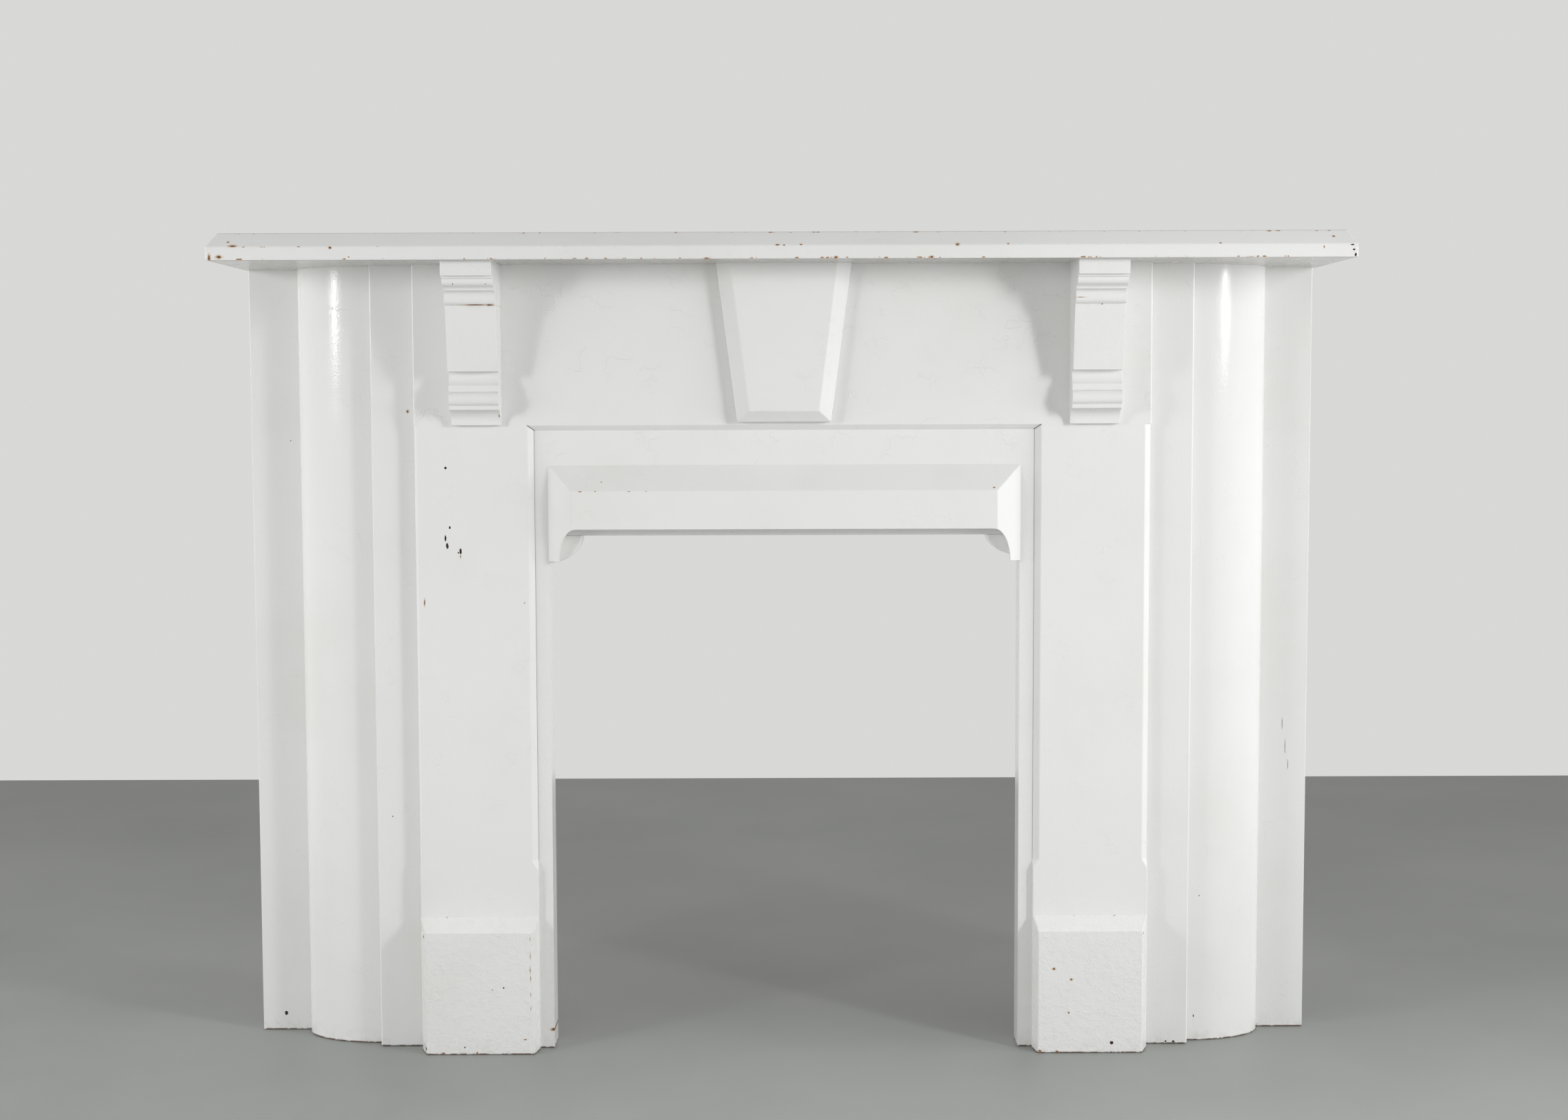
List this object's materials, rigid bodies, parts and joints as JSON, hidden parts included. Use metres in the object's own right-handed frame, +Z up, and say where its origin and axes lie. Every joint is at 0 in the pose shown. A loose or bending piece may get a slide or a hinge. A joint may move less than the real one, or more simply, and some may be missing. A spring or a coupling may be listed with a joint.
{
  "type": "fireplace mantelpiece",
  "caption": "Painted timber fireplace surround with a chamfered shelf on shaped brackets, a tapered keystone, pilasters on plinths and half-column returns.",
  "frame": {"origin": "floor level, in the middle of the plan", "axes": "+X along the shelf to the viewer's right, -Y towards the room, +Y towards the wall, +Z up"},
  "size_m": [1.643, 0.245, 1.22],
  "materials": {
    "white_gloss_paint": "white gloss paint on timber, with brush marks and chips",
    "bare_timber": "rough-sawn bare softwood, aged",
    "screw_steel": "dull steel, lightly rusted"
  },
  "bodies": {
    "root": {"far_left_glue_block": "bare_timber", "far_right_glue_block": "bare_timber", "frieze_board": "white_gloss_paint", "head_rail": "white_gloss_paint", "keystone": "white_gloss_paint", "keystone_lower_screw": "screw_steel", "keystone_upper_screw": "screw_steel", "left_bracket": "white_gloss_paint", "left_bracket_lower_screw": "screw_steel", "left_bracket_upper_screw": "screw_steel", "left_corner_block": "white_gloss_paint", "left_fillet_board": "white_gloss_paint", "left_glue_block": "bare_timber", "left_jamb_post": "white_gloss_paint", "left_lower_cleat": "bare_timber", "left_lower_cleat_inner_screw": "screw_steel", "left_lower_cleat_outer_screw": "screw_steel", "left_pilaster_board": "white_gloss_paint", "left_plinth_block": "white_gloss_paint", "left_quarter_column": "white_gloss_paint", "left_rear_post": "bare_timber", "left_return_board": "white_gloss_paint", "left_upper_cleat": "bare_timber", "left_upper_cleat_inner_screw": "screw_steel", "left_upper_cleat_outer_screw": "screw_steel", "lintel_block": "white_gloss_paint", "mantel_shelf": "white_gloss_paint", "right_bracket": "white_gloss_paint", "right_bracket_lower_screw": "screw_steel", "right_bracket_upper_screw": "screw_steel", "right_corner_block": "white_gloss_paint", "right_fillet_board": "white_gloss_paint", "right_glue_block": "bare_timber", "right_jamb_post": "white_gloss_paint", "right_lower_cleat": "bare_timber", "right_lower_cleat_inner_screw": "screw_steel", "right_lower_cleat_outer_screw": "screw_steel", "right_pilaster_board": "white_gloss_paint", "right_plinth_block": "white_gloss_paint", "right_quarter_column": "white_gloss_paint", "right_rear_post": "bare_timber", "right_return_board": "white_gloss_paint", "right_upper_cleat": "bare_timber", "right_upper_cleat_inner_screw": "screw_steel", "right_upper_cleat_outer_screw": "screw_steel", "top_rail": "bare_timber"}
  },
  "joints": []
}
